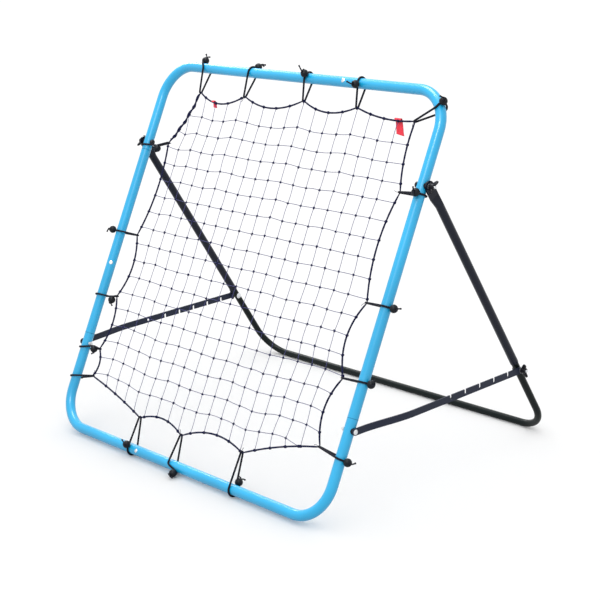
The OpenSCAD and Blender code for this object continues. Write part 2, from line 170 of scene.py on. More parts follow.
class Nodes:
    """A material's node tree, with short ways to add nodes to it."""

    def __init__(self, name):
        self.material = bpy.data.materials.new(name)
        self.material.use_nodes = True
        self.tree = self.material.node_tree
        self.surface = self.tree.nodes["Principled BSDF"]

    def set(self, **values):
        """Sets the shader's own sockets, with an underscore for each space in a name."""
        for name, value in values.items():
            self.surface.inputs[name.replace("_", " ")].default_value = value

    def link(self, source, target):
        """Joins two sockets."""
        self.tree.links.new(source, target)

    def place(self):
        """The place on the object, in metres."""
        return self.tree.nodes.new("ShaderNodeTexCoord").outputs["Object"]

    def cord_place(self):
        """Round the cord as X, from 0 to 1, and along it as Y, in metres."""
        node = self.tree.nodes.new("ShaderNodeUVMap")
        node.uv_map = "cord"
        split = self.tree.nodes.new("ShaderNodeSeparateXYZ")
        self.link(node.outputs["UV"], split.inputs["Vector"])
        return split.outputs["X"], split.outputs["Y"]

    def noise(self, scale, detail, rough=0.5, stretch=(1, 1, 1)):
        """Noise from 0 to 1, with scale features to the metre."""
        mapping = self.tree.nodes.new("ShaderNodeMapping")
        mapping.inputs["Scale"].default_value = stretch
        self.link(self.place(), mapping.inputs["Vector"])
        node = self.tree.nodes.new("ShaderNodeTexNoise")
        node.inputs["Scale"].default_value = scale
        node.inputs["Detail"].default_value = detail
        node.inputs["Roughness"].default_value = rough
        self.link(mapping.outputs["Vector"], node.inputs["Vector"])
        return node.outputs["Fac"]

    def math(self, operation, first, second=0.0):
        """Arithmetic on sockets or numbers."""
        node = self.tree.nodes.new("ShaderNodeMath")
        node.operation = operation
        for socket, value in zip(node.inputs, (first, second)):
            if isinstance(value, (int, float)):
                socket.default_value = value
            else:
                self.link(value, socket)
        return node.outputs[0]

    def ramp(self, source, stops):
        """Maps source through stops, each a position with a grey level or a colour."""
        node = self.tree.nodes.new("ShaderNodeValToRGB")
        elements = node.color_ramp.elements
        while len(elements) < len(stops):
            elements.new(0.5)
        for element, (position, colour) in zip(elements, stops):
            element.position = position
            if isinstance(colour, (int, float)):
                colour = (colour, colour, colour)
            element.color = (*colour, 1)
        self.link(source, node.inputs["Fac"])
        return node.outputs["Color"]

    def mix(self, share, first, second):
        """Blends two colours, each of them a socket or a tuple, by share."""
        node = self.tree.nodes.new("ShaderNodeMix")
        node.data_type = "RGBA"
        self.link(share, node.inputs["Factor"])
        for socket, value in zip(node.inputs[6:8], (first, second)):
            if isinstance(value, tuple):
                socket.default_value = (*value, 1)
            else:
                self.link(value, socket)
        return node.outputs[2]

    def bump(self, height, strength, distance):
        """Raises the surface by height, at most distance metres."""
        node = self.tree.nodes.new("ShaderNodeBump")
        node.inputs["Strength"].default_value = strength
        node.inputs["Distance"].default_value = distance
        self.link(height, node.inputs["Height"])
        self.link(node.outputs["Normal"], self.surface.inputs["Normal"])

    def colour(self, source):
        self.link(source, self.surface.inputs["Base Color"])

    def roughness(self, source):
        self.link(source, self.surface.inputs["Roughness"])


def paint(name, colour, worn, rough, coat, gloss_ior, grain, grain_height):
    """Baked paint on tube: a slight change of shade, fine orange peel and small scuffs."""
    look = Nodes(name)
    look.set(Coat_Weight=coat, Coat_Roughness=0.12, IOR=gloss_ior)
    cloudy = look.ramp(look.noise(5, 4), [(0.35, 0.0), (0.65, 1.0)])
    darker = tuple(c * 0.86 for c in colour)
    shaded = look.mix(cloudy, darker, colour)
    scuffs = look.ramp(look.noise(60, 6, 0.7, (1, 1, 0.25)), [(0.70, 0.0), (0.76, 1.0)])
    look.colour(look.mix(scuffs, shaded, worn))
    look.roughness(look.ramp(look.noise(22, 5, 0.6), [(0.3, rough - 0.05), (0.7, rough + 0.09)]))
    look.bump(look.noise(grain, 2, 0.5), 0.35, grain_height)
    return look.material


def plated_steel(name, colour, rough):
    """Plated steel with faint turning marks and a cloudy plating."""
    look = Nodes(name)
    look.set(Metallic=0.95)
    look.colour(look.mix(look.noise(90, 4), tuple(c * 0.75 for c in colour), colour))
    look.roughness(look.ramp(look.noise(160, 5, 0.7), [(0.3, rough - 0.08), (0.7, rough + 0.14)]))
    look.bump(look.noise(900, 3, 0.6), 0.25, 0.0001)
    return look.material


def moulded_plastic(name, colour, rough):
    """Moulded plastic with a fine matt grain and slightly polished high spots."""
    look = Nodes(name)
    look.set(IOR=1.25)
    look.colour(look.mix(look.noise(35, 3), colour, tuple(c * 1.7 for c in colour)))
    look.roughness(look.ramp(look.noise(70, 4), [(0.3, rough - 0.08), (0.7, rough + 0.12)]))
    look.bump(look.noise(1500, 2, 0.5), 0.3, 0.0002)
    return look.material


def braid(name, colour, light, around, step, depth):
    """A braided cord: two sets of strands that cross each other round it."""
    look = Nodes(name)
    look.set(Roughness=0.62, IOR=1.18, Sheen_Weight=0.02, Sheen_Roughness=0.4)
    across, along = look.cord_place()
    turns = look.math("MULTIPLY", across, 2 * math.pi * around)
    runs = look.math("MULTIPLY", along, 2 * math.pi / step)
    one_way = look.math("SINE", look.math("ADD", turns, runs))
    other_way = look.math("SINE", look.math("SUBTRACT", turns, runs))
    strands = look.math("MULTIPLY", one_way, other_way)
    height = look.math("ADD", look.math("MULTIPLY", strands, 0.5), 0.5)
    fuzz = look.math("ADD", height, look.math("MULTIPLY", look.noise(1400, 2), 0.5))
    look.colour(look.ramp(fuzz, [(0.25, colour), (1.0, light)]))
    look.bump(fuzz, 0.8, depth)
    return look.material


def twist(name, colour, light, step):
    """Twisted twine: two plies that run round it like a screw."""
    look = Nodes(name)
    look.set(Roughness=0.7, IOR=1.18, Sheen_Weight=0.02, Sheen_Roughness=0.5)
    across, along = look.cord_place()
    turns = look.math("MULTIPLY", across, 4 * math.pi)
    runs = look.math("MULTIPLY", along, 2 * math.pi / step)
    plies = look.math("SINE", look.math("ADD", turns, runs))
    height = look.math("ADD", look.math("MULTIPLY", plies, 0.5), 0.5)
    look.colour(look.ramp(height, [(0.15, colour), (0.9, light)]))
    look.bump(height, 0.6, 0.0003)
    return look.material


def ribbon_cloth(name, colour, dark):
    """Woven ribbon: fine threads both ways and a firmer edge on each side."""
    look = Nodes(name)
    look.set(Roughness=0.55, Sheen_Weight=0.5, Sheen_Roughness=0.35)
    across, along = look.cord_place()
    warp = look.math("SINE", look.math("MULTIPLY", across, 2 * math.pi * 26))
    weft = look.math("SINE", look.math("MULTIPLY", along, 2 * math.pi / 0.0009))
    weave = look.math("ADD", look.math("MULTIPLY", look.math("MULTIPLY", warp, weft), 0.5), 0.5)
    edge = look.math("ABSOLUTE", look.math("SUBTRACT", across, 0.5))
    threads = look.mix(look.ramp(weave, [(0.2, 0.0), (0.8, 1.0)]), dark, colour)
    look.colour(look.mix(look.ramp(edge, [(0.43, 0.0), (0.46, 1.0)]), threads, dark))
    look.bump(weave, 0.5, 0.0002)
    return look.material


def pale_floor():
    """A plain pale backdrop, a touch uneven."""
    look = Nodes("pale_floor")
    look.set(Roughness=0.85, Specular_IOR_Level=0.1)
    look.colour(look.mix(look.noise(2.5, 4), (0.945, 0.945, 0.945), (0.965, 0.965, 0.965)))
    return look.material


BLUE = paint(
    "blue_frame_paint", (0.006, 0.290, 0.53), worn=(0.03, 0.33, 0.56),
    rough=0.34, coat=0.25, gloss_ior=1.48, grain=420, grain_height=0.0002,
)
BLACK = paint(
    "black_stand_paint", (0.004, 0.006, 0.014), worn=(0.03, 0.03, 0.05),
    rough=0.22, coat=0.0, gloss_ior=1.30, grain=700, grain_height=0.0002,
)
# The stand's black paint again, made darker and greener for the ground tube: the difference is
# painted shade.
BASE_BLACK_PAINTED_SHADE = paint(
    "black_stand_paint_painted_shade", (0.002, 0.005, 0.005), worn=(0.03, 0.03, 0.03),
    rough=0.34, coat=0.0, gloss_ior=1.24, grain=700, grain_height=0.0002,
)
BAR_BLACK = paint(
    "black_bar_paint", (0.010, 0.014, 0.030), worn=(0.05, 0.05, 0.08),
    rough=0.40, coat=0.0, gloss_ior=1.28, grain=900, grain_height=0.0003,
)
ZINC = plated_steel("zinc_steel", (0.74, 0.76, 0.78), rough=0.3)
DARK_STEEL = plated_steel("black_steel", (0.045, 0.045, 0.05), rough=0.42)
SEAM = moulded_plastic("seam_shadow", (0.002, 0.060, 0.12), rough=0.5)
PLASTIC = moulded_plastic("black_plastic", (0.003, 0.003, 0.005), rough=0.36)
BALL_PLASTIC = moulded_plastic("ball_plastic", (0.004, 0.005, 0.007), rough=0.40)
ELASTIC = braid(
    "elastic_cord", (0.002, 0.002, 0.005), (0.010, 0.011, 0.019),
    around=6, step=0.0026, depth=0.0006,
)
BORDER = braid(
    "border_cord", (0.002, 0.002, 0.014), (0.008, 0.010, 0.045),
    around=4, step=0.0030, depth=0.0007,
)
TWINE = twist("net_twine", (0.012, 0.012, 0.060), (0.10, 0.10, 0.24), step=0.0040)
CROSS_TWINE = twist(
    "net_cross_twine", (0.004, 0.004, 0.034), (0.09, 0.09, 0.22), step=0.0090
)
KNOT = twist("net_knots", (0.002, 0.003, 0.018), (0.010, 0.012, 0.055), step=0.0025)
RED = ribbon_cloth("red_ribbon", (0.80, 0.020, 0.050), dark=(0.50, 0.010, 0.025))


# ---------- mesh helpers ----------

# How far a tube's end bulges, in radii, and the radius that stands for a point
CAP_BULGE = 0.35
LEAST_R = 0.00001


class Shape:
    """Points and faces with their cord coordinates, gathered before they become a mesh."""

    def __init__(self):
        self.points = []
        self.faces = []
        self.uvs = []
        self.slots = []

    def face(self, corners, uvs, slot):
        """Adds one face with its cord coordinates and its material slot."""
        self.faces.append(corners)
        self.uvs.extend(uvs)
        self.slots.append(slot)

    def grid(self, rows, alongs, slot=0, closed=False):
        """Joins rows of points, each of them a ring, with quads; alongs is where each lies."""
        count = len(rows[0])
        first = len(self.points)
        for row in rows:
            self.points.extend(row)
        last = len(rows) if closed else len(rows) - 1
        for i in range(last):
            j = (i + 1) % len(rows)
            for s in range(count):
                t = (s + 1) % count
                corners = [
                    first + i * count + s,
                    first + i * count + t,
                    first + j * count + t,
                    first + j * count + s,
                ]
                a, b = s / count, (s + 1) / count
                c, d = alongs[i], alongs[i + 1]
                self.face(corners, [(a, c), (b, c), (b, d), (a, d)], slot)
        return first

    def cap(self, ring, middle, slot, flip=False):
        """Closes a ring of point numbers with a fan round a middle point."""
        self.points.append(middle)
        centre = len(self.points) - 1
        count = len(ring)
        for s in range(count):
            corners = [ring[s], ring[(s + 1) % count], centre]
            if flip:
                corners.reverse()
            self.face(corners, [(0.1, 0), (0.2, 0), (0.15, 0.001)], slot)

    def tube(self, path, radius, sides, slot=0, closed=False):
        """A tube along path. radius is a number, or one for each point."""
        count = len(path)
        radii = [radius] * count if isinstance(radius, float) else radius
        ways = []
        for i in range(count):
            before = path[i - 1] if i > 0 or closed else path[0]
            after = path[(i + 1) % count] if i < count - 1 or closed else path[-1]
            ways.append((after - before).normalized())
        side = ways[0].orthogonal().normalized()
        rows = []
        alongs = [0.0]
        for i in range(count):
            side = (side - ways[i] * side.dot(ways[i])).normalized()
            other = ways[i].cross(side)
            ring = []
            for s in range(sides):
                turn = 2 * math.pi * s / sides
                out = side * math.cos(turn) + other * math.sin(turn)
                ring.append(path[i] + out * radii[i])
            rows.append(ring)
            step = (path[(i + 1) % count] - path[i]).length
            alongs.append(alongs[-1] + step)
        first = self.grid(rows, alongs, slot, closed)
        if not closed:
            start_ring = [first + s for s in range(sides)]
            end_ring = [first + (count - 1) * sides + s for s in range(sides)]
            self.cap(start_ring, path[0] - ways[0] * radii[0] * CAP_BULGE, slot, flip=True)
            self.cap(end_ring, path[-1] + ways[-1] * radii[-1] * CAP_BULGE, slot)

    def lathe(self, profile, place, axis, segments):
        """Turns a profile of (radius, height) round axis. An end at radius 0 is closed."""
        axis = axis.normalized()
        side = axis.orthogonal().normalized()
        other = axis.cross(side)
        rows = []
        alongs = [0.0]
        for i, (radius, height) in enumerate(profile):
            radius = max(radius, LEAST_R)
            ring = []
            for s in range(segments):
                turn = 2 * math.pi * s / segments
                out = side * math.cos(turn) + other * math.sin(turn)
                ring.append(place + axis * height + out * radius)
            rows.append(ring)
            if i:
                alongs.append(alongs[-1] + math.dist(profile[i - 1], profile[i]))
        alongs.append(alongs[-1])
        self.grid(rows, alongs)

    def ball(self, centre, radius, flat_way, flat):
        """A ball that is squashed along flat_way to flat times its thickness."""
        profile = []
        for k in range(13):
            turn = math.pi * (k / 12 - 0.5)
            profile.append((radius * math.cos(turn), radius * flat * math.sin(turn)))
        self.lathe(profile, centre, flat_way, 24)

    def build(self, name, materials):
        """Makes the smooth-shaded object name of what was gathered."""
        mesh = bpy.data.meshes.new(name)
        mesh.from_pydata([tuple(p) for p in self.points], [], self.faces)
        layer = mesh.uv_layers.new(name="cord")
        layer.uv.foreach_set("vector", [x for uv in self.uvs for x in uv])
        for material in materials:
            mesh.materials.append(material)
        mesh.polygons.foreach_set("material_index", self.slots)
        mesh.polygons.foreach_set("use_smooth", [True] * len(self.faces))
        mesh.validate()
        mesh.update()
        obj = bpy.data.objects.new(name, mesh)
        bpy.context.scene.collection.objects.link(obj)
        return obj


def bake(obj):
    """Applies obj's modifiers, so that its mesh is final."""
    graph = bpy.context.evaluated_depsgraph_get()
    mesh = bpy.data.meshes.new_from_object(obj.evaluated_get(graph))
    obj.modifiers.clear()
    obj.data = mesh


def spaced(points, step):
    """The same route with points about step apart."""
    route = [points[0]]
    for a, b in zip(points, points[1:]):
        pieces = max(1, math.ceil((b - a).length / step))
        route += [a.lerp(b, k / pieces) for k in range(1, pieces + 1)]
    return route


def smoothed(points, rounds):
    """The same route with its corners eased and its ends kept."""
    for _ in range(rounds):
        eased = [points[0]]
        for a, b, c in zip(points, points[1:], points[2:]):
            eased.append(a * 0.25 + b * 0.5 + c * 0.25)
        points = eased + [points[-1]]
    return points


# ---------- bungee loops and balls ----------

# The loop on the upper right bend sits this far round it, from the side tube
CORNER_TURN = math.radians(33)
CORNER_TUBE = (
    SIDE_AT - FRAME_CORNER * (1 - math.cos(CORNER_TURN)),
    TOP_AT - FRAME_CORNER * (1 - math.sin(CORNER_TURN)),
)
# One line for each loop: the tube's middle and the net corner, as (across, up) in mm, the
# ball's extra distance from the tube in mm, its angle from outwards to the front in
# degrees, its slip along the tube in mm, and its cord tails, each of them a turn and a rise
# in degrees and a length in mm. A ball at the angle INSIDE hangs within the frame.
INSIDE = 180
LOOPS = {
    "top": [
        ((-341, TOP_AT), (-340, 912), 0, -12, -23, ((180, 45, 9), (20, 6, 4))),
        ((-165, TOP_AT), (-168, 914), 0, -30, 0, ((10, 6, 10), (60, 6, 6))),
        ((38, TOP_AT), (44, 920), 0, 78, 5, ((130, 20, 13), (20, 6, 5))),
        ((217, TOP_AT), (224, 918), 0, 112, 0, ((150, 12, 12), (60, 6, 4))),
        (CORNER_TUBE, (412, 902), 0, 33, -8, ((250, 6, 10), (310, 6, 7))),
    ],
    "right": [
        ((SIDE_AT, 742), (430, 740), 0, 75, 0, ((20, 6, 8), (200, 6, 6))),
        ((SIDE_AT, 488), (430, 487), 0, 0, 0, ((250, 72, 15), (300, 20, 7))),
        ((SIDE_AT, 318), (426, 315), 0, 0, 0, ((220, 6, 10), (290, 6, 6))),
        ((SIDE_AT, 148), (419, 157), 0, 0, 0, ((120, 6, 8), (250, 6, 7))),
    ],
    "bottom": [
        ((198, 0), (190, 85), 0, -148, 0, ((30, 6, 7), (210, 6, 6))),
        ((-27, 0), (-27, 72), 0, 45, -29, ((180, 6, 9), (250, 6, 6))),
        ((-186, 0), (-192, 77), 0, 108, 0, ((160, 6, 8), (330, 6, 6))),
    ],
    "left": [
        ((-SIDE_AT, 120), (-422, 135), 0, -44, 0, ((80, 6, 9), (160, 6, 6))),
        ((-SIDE_AT, 198), (-428, 207), 14, INSIDE, -2, ((30, 6, 7), (200, 6, 6))),
        ((-SIDE_AT, 342), (-424, 350), 24, INSIDE, -11, ((60, 6, 8), (240, 6, 6))),
        ((-SIDE_AT, 515), (-418, 516), 0, 45, 0, ((100, 6, 9), (190, 6, 7))),
        ((-SIDE_AT, 752), (-406, 768), 19, INSIDE, -11, ((30, 6, 8), (150, 6, 6))),
    ],
}


# Half the angle between a cord's two ends at a ball on the tube, and half the gap between
# them at a ball within the frame
ENDS_APART = 0.14
ENDS_GAP = 2 * MM
# The steps of a route: along a loop, round the tube and round the net's border
LOOP_STEP = 2.2 * MM
WRAP_STEP = math.radians(12)
HITCH_STEPS = 8


class LoopPlace:
    """A loop's own frame: X from the tube to the net corner, Y back, Z along the tube."""

    def __init__(self, tube, corner):
        start = lean_place(tube[0] * MM, 0, tube[1] * MM)
        end = lean_place(corner[0] * MM, 0, corner[1] * MM)
        self.origin = start
        self.x = (end - start).normalized()
        self.y = lean_way(0, 1, 0)
        self.z = self.x.cross(self.y)
        self.span = (end - start).length

    def way(self, x, y, z=0.0):
        """A direction in the loop's frame."""
        return self.x * x + self.y * y + self.z * z

    def put(self, x, y, z=0.0):
        """A place in the loop's frame."""
        return self.origin + self.x * x + self.y * y + self.z * z


def eased_share(share):
    """The share from 0 to 1 with a soft start and end."""
    return share * share * (3 - 2 * share)


def wrap(place, start, end, slip):
    """Points round the tube from angle start, at slip along it, to angle end, at none."""
    steps = max(2, round(abs(end - start) / WRAP_STEP))
    points = []
    for k in range(steps + 1):
        angle = start + (end - start) * k / steps
        along = slip * (1 - eased_share(k / steps))
        points.append(place.put(LOOP_R * math.cos(angle), LOOP_R * math.sin(angle), along))
    return points


def hitch(place, start, end):
    """Points round the net's border at the corner."""
    points = []
    for k in range(HITCH_STEPS + 1):
        angle = start + (end - start) * k / HITCH_STEPS
        x = place.span + HITCH_R * math.cos(angle)
        points.append(place.put(x, HITCH_R * math.sin(angle)))
    return points


def loop_route(place, ball_turn, slip, inner, ball_at):
    """The middle of one loop's cord: from its ball round the net's corner and back."""
    leave = math.acos((LOOP_R - HITCH_R) / place.span)
    front, back = -leave, leave
    corner = hitch(place, front, back)
    if inner:
        over = wrap(place, front, back - 2 * math.pi, 0.0)
        start = ball_at + place.way(-ENDS_GAP, -3 * MM, BALL_R - 2 * MM)
        end = ball_at + place.way(ENDS_GAP, -3 * MM, BALL_R - 2 * MM)
        route = [start] + over + corner[::-1] + [end]
    else:
        ball_angle = math.pi + ball_turn
        begin = ball_angle + ENDS_APART
        finish = ball_angle - ENDS_APART
        front_wrap = wrap(place, begin, 2 * math.pi + front, slip)
        back_wrap = wrap(place, finish, back, slip)[::-1]
        if begin > 2 * math.pi + front:
            front_wrap = [front_wrap[0]]
        if finish < back:
            back_wrap = [back_wrap[-1]]
        route = front_wrap + corner + back_wrap
    return smoothed(spaced(route, LOOP_STEP), 3)


def ball_shape(shape, at, out, along, tails):
    """A ball on its cord: a hole with a lip, a mould seam, and the cord's two tails."""
    r = BALL_R
    profile = [(0.0, -r * 0.93), (0.0034, -r * 0.93), (0.0040, -r * 0.88)]
    for degrees in range(-60, 64, 6):
        turn = math.radians(degrees)
        reach = r + 0.00022 if degrees == 0 else r
        profile.append((reach * math.cos(turn), reach * math.sin(turn)))
    profile += [
        (0.0040, r * 0.90),
        (0.0037, r * 0.94),
        (0.0032, r * 0.92),
        (0.0030, r * 0.55),
        (0.0, r * 0.5),
    ]
    shape.lathe(profile, at, out, 28)
    side = out.cross(along).normalized()
    for turn, rise, length in tails:
        angle = math.radians(turn)
        slope = math.radians(rise)
        aside = along * math.cos(angle) + side * math.sin(angle)
        away = aside * math.cos(slope) + out * math.sin(slope)
        reach = length * MM
        knee = at + out * (r + 0.0024) + aside * 0.0034
        route = [
            at + out * r * 0.55 + aside * 0.0004,
            at + out * (r + 0.0012) + aside * 0.0014,
            knee,
            knee + away * reach * 0.5,
            knee + away * reach,
        ]
        route = smoothed(spaced(route, 0.0012), 3)
        radii = [0.0017] * (len(route) - 3) + [0.0018, 0.0021, 0.0024]
        shape.tube(route, radii, 8, slot=1)


def make_loops():
    """Every bungee loop as its own cord, and every ball on its tube."""
    for side, rows in LOOPS.items():
        for number, row in enumerate(rows, 1):
            tube, corner, extra, degrees, slip, tails = row
            place = LoopPlace(tube, corner)
            turn = math.radians(degrees)
            slip = slip * MM
            inner = degrees == INSIDE
            distance = BALL_OUT + extra * MM
            ball_at = place.put(-distance * math.cos(turn), -distance * math.sin(turn), slip)
            out = place.way(-math.cos(turn), -math.sin(turn))
            along = place.z
            if inner:
                out = place.way(0.25, -0.2, -1.0).normalized()
                along = place.x
            route = loop_route(place, turn, slip, inner, ball_at)
            shape = Shape()
            shape.tube(route, CORD_R, 10)
            cord = shape.build(f"bungee_cord_{side}_{number}", [ELASTIC])
            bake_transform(cord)
            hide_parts(f"{side}_bungee_loops")
            shape = Shape()
            ball_shape(shape, ball_at, out, along, tails)
            ball = shape.build(f"bungee_ball_{side}_{number}", [BALL_PLASTIC, ELASTIC])
            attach(ball, "front_frame")
            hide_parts(f"{side}_bungee_balls")


# ---------- net ----------

# The net's corners, clockwise: (across, up) in mm, and the depth of the scallop after it.
NET_EDGE = [
    ((-340, 912), 26), ((-168, 914), 25), ((44, 920), 21), ((224, 918), 10),
    ((412, 902), 9), ((430, 740), 20), ((430, 487), 28), ((426, 315), 25),
    ((419, 157), 7), ((190, 85), 24), ((-27, 72), 20), ((-192, 77), 4),
    ((-422, 135), 14), ((-428, 207), 18), ((-424, 350), 23), ((-418, 516), 18),
    ((-406, 768), 10),
]
EDGE_STEPS = 24
# The height of the net's middle, half its width and its sag there, in mm
NET_MIDDLE = 495
NET_HALF = 430
NET_SAG = 2.5
# The mesh, in mm
PITCH_ACROSS = 45
PITCH_UP = 44
FIRST_COLUMN = -358
COLUMNS = 17
FIRST_ROW = 143
ROWS = 17
# The least length of a strand's last run, in mm
LEAST_RUN = 9
# The mesh follows the scallops by these shares, for scallops of up to MOST_DRAWN mm, and
# this fades over FADE mm
FOLLOW_UP = 0.55
FOLLOW_ACROSS = 0.5
MOST_DRAWN = 16
FADE = 190
# How far chance moves a knot, bows a run of twine aside and pushes it back, in mm
KNOT_DRIFT = 1.2
BOW = 1.1
PUSH = 0.6
TWINE_R = 0.68 * MM
CROSS_TWINE_R = 0.78 * MM
KNOT_R = 1.15 * MM
BORDER_R = 2.0 * MM
LASHING_R = 1.0 * MM


def scallop(i, t):
    """A point of the net's edge: scallop i, part t of the way along it."""
    a = Vector(NET_EDGE[i][0])
    b = Vector(NET_EDGE[(i + 1) % len(NET_EDGE)][0])
    way = (b - a).normalized()
    depth = NET_EDGE[i][1] * 4 * t * (1 - t)
    return a.lerp(b, t) + Vector((way.y, -way.x)) * depth


EDGE = [scallop(i, k / EDGE_STEPS) for i in range(len(NET_EDGE)) for k in range(EDGE_STEPS)]


def edge_crossings(axis, value):
    """The lowest and highest places where the line axis = value crosses the net's edge."""
    found = []
    for a, b in zip(EDGE, EDGE[1:] + EDGE[:1]):
        if (a[axis] <= value) != (b[axis] <= value):
            share = (value - a[axis]) / (b[axis] - a[axis])
            found.append(a.lerp(b, share)[1 - axis])
    return min(found), max(found)


def sag(point):
    """How far back the net hangs at a point, in mm."""
    across = 1 - (point.x / NET_HALF) ** 2
    up = 1 - ((point.y - NET_MIDDLE) / NET_HALF) ** 2
    return NET_SAG * max(0, across) * max(0, up)


def on_net(point, back=0.0):
    """The place of a net point, back mm behind the sagging net."""
    return lean_place(point.x * MM, (sag(point) + back) * MM, point.y * MM)


columns = [FIRST_COLUMN + PITCH_ACROSS * i for i in range(COLUMNS)]
rows = [FIRST_ROW + PITCH_UP * j for j in range(ROWS)]
column_ends = {x: edge_crossings(0, x) for x in columns}
row_ends = {z: edge_crossings(1, z) for z in rows}


def drawn(ends, line, which):
    """How far a line's low or high end lies from the mean, as far as the mesh follows it."""
    mean = sum(end[which] for end in ends.values()) / len(ends)
    return max(-MOST_DRAWN, min(MOST_DRAWN, ends[line][which] - mean))


def knot_place(x, z):
    """A knot's place: the mesh follows the scallops, and less so further from them."""
    low, high = column_ends[x]
    left, right = row_ends[z]
    up = FOLLOW_UP * drawn(column_ends, x, 1) * math.exp((z - high) / FADE)
    up += FOLLOW_UP * drawn(column_ends, x, 0) * math.exp((low - z) / FADE)
    across = FOLLOW_ACROSS * drawn(row_ends, z, 1) * math.exp((x - right) / FADE)
    across += FOLLOW_ACROSS * drawn(row_ends, z, 0) * math.exp((left - x) / FADE)
    return Vector((
        x + across + dice.uniform(-KNOT_DRIFT, KNOT_DRIFT),
        z + up + dice.uniform(-KNOT_DRIFT, KNOT_DRIFT),
    ))


def make_strand(shape, points, radius, slot):
    """One run of twine through its knots, a little slack in each mesh."""
    route = []
    for a, b in zip(points, points[1:]):
        bow = Vector((b.y - a.y, a.x - b.x)).normalized() * dice.uniform(-BOW, BOW)
        back = dice.uniform(-PUSH, PUSH)
        for k in range(4):
            lift = math.sin(math.pi * k / 4)
            route.append(on_net(a.lerp(b, k / 4) + bow * lift, back * lift))
    route.append(on_net(points[-1]))
    shape.tube(route, radius, 5, slot=slot)


def make_knot(shape, point):
    """A tight knot: a trefoil of twine, turned a different way each time."""
    turn = dice.uniform(0, 2 * math.pi)
    size = dice.uniform(0.95, 1.15) * MM
    middle = on_net(point)
    route = []
    for k in range(21):
        t = 2 * math.pi * k / 21
        x = math.sin(t + turn) + 1.6 * math.sin(2 * t + turn)
        z = math.cos(t + turn) - 1.6 * math.cos(2 * t + turn)
        route.append(middle + lean_way(x * size, -math.sin(3 * t) * size * 0.9, z * size))
    shape.tube(route, KNOT_R, 5, slot=1, closed=True)


def edge_way(point):
    """The direction of the net's edge near a point of it."""
    nearest = min(range(len(EDGE)), key=lambda k: (EDGE[k] - point).length)
    return (EDGE[(nearest + 1) % len(EDGE)] - EDGE[nearest - 1]).normalized()


def make_lashing(shape, point, turns=3):
    """Turns of twine round the border where a run of twine ends on it."""
    middle = on_net(point)
    toward = edge_way(point)
    along = lean_way(toward.x, 0, toward.y).normalized()
    back = lean_way(0, 1, 0)
    side = along.cross(back)
    sides = 9
    route = []
    for k in range(turns * sides + 1):
        turn = 2 * math.pi * k / sides
        slip = (k / sides - turns / 2) * 1.3 * MM
        out = back * math.cos(turn) + side * math.sin(turn)
        route.append(middle + along * slip + out * (BORDER_R + 0.75 * MM))
    shape.tube(route, LASHING_R, 5, slot=1)


def make_net():
    """The knotted mesh inside its edge. Returns the places where its strands end."""
    shape = Shape()
    knots = {}
    for x in columns:
        for z in rows:
            inside_column = column_ends[x][0] + LEAST_RUN < z < column_ends[x][1] - LEAST_RUN
            inside_row = row_ends[z][0] + LEAST_RUN < x < row_ends[z][1] - LEAST_RUN
            if inside_column and inside_row:
                knots[x, z] = knot_place(x, z)
    ends = []
    for x in columns:
        low, high = (Vector((x, end)) for end in column_ends[x])
        held = [low] + [knots[x, z] for z in rows if (x, z) in knots] + [high]
        make_strand(shape, held, TWINE_R, 0)
        ends += [low, high]
    for z in rows:
        left, right = (Vector((end, z)) for end in row_ends[z])
        held = [left] + [knots[x, z] for x in columns if (x, z) in knots] + [right]
        make_strand(shape, held, CROSS_TWINE_R, 2)
        ends += [left, right]
    for point in knots.values():
        make_knot(shape, point)
    net = shape.build("net_twine", [TWINE, KNOT, CROSS_TWINE])
    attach(net, "net")
    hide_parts("net_panel")
    return ends


def border_radius(i, k):
    """The border's radius at step k of scallop i: drawn in where a loop holds it."""
    steps_off = min(k, EDGE_STEPS - k)
    return (1.3 + 0.9 * min(1, steps_off / 1.5)) * MM + 0.12 * MM * math.sin(2.1 * (i + k))


def make_second_cord(shape):
    """The cord wound round the border at the net's upper left, with its lashings."""
    last = len(NET_EDGE) - 1
    places = [scallop(last, 0.06 + 0.88 * k / 30) for k in range(31)]
    # How far it winds off the border's middle, in mm, and the direction across the border
    off_border = 3.4
    across_border = Vector((-0.72, 0.68))
    wound = []
    for k, point in enumerate(places):
        turn = 2 * math.pi * k / 10
        aside = across_border * (off_border * math.cos(turn))
        wound.append(on_net(point + aside, off_border * math.sin(turn)))
    shape.tube(smoothed(spaced(wound, 0.003), 2), 1.9 * MM, 7)
    for k in range(3, 28, 5):
        make_lashing(shape, places[k], turns=5)


def make_loose_ends(shape):
    """A short frayed end of twine at each corner of the net, to one side or the other."""
    middle = Vector((0, 490))
    for i, (corner, _) in enumerate(NET_EDGE):
        start = Vector(corner)
        inward = (middle - start).normalized()
        aside = Vector((inward.y, -inward.x)) * (1 if i % 2 else -1)
        reach = 9 + 5 * math.sin(1.7 * i) ** 2
        route = [
            on_net(start, -2.2),
            on_net(start + inward * reach * 0.4 + aside * 2, -2.8),
            on_net(start + inward * reach * 0.8 + aside * 5, -2.4),
            on_net(start + inward * reach + aside * 9, -3.4),
        ]
        shape.tube(smoothed(spaced(route, 0.0012), 4), 0.6 * MM, 5, slot=1)


def make_border(ends):
    """The net's edge cord, lashed to the strands' ends, with a second cord and loose ends."""
    shape = Shape()
    radii = [border_radius(i, k) for i in range(len(NET_EDGE)) for k in range(EDGE_STEPS)]
    shape.tube([on_net(p) for p in EDGE], radii, 8, closed=True)
    for point in ends:
        make_lashing(shape, point)
    make_second_cord(shape)
    make_loose_ends(shape)
    border = shape.build("net_border", [BORDER, KNOT])
    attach(border, "net")
    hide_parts("net_border_cord")


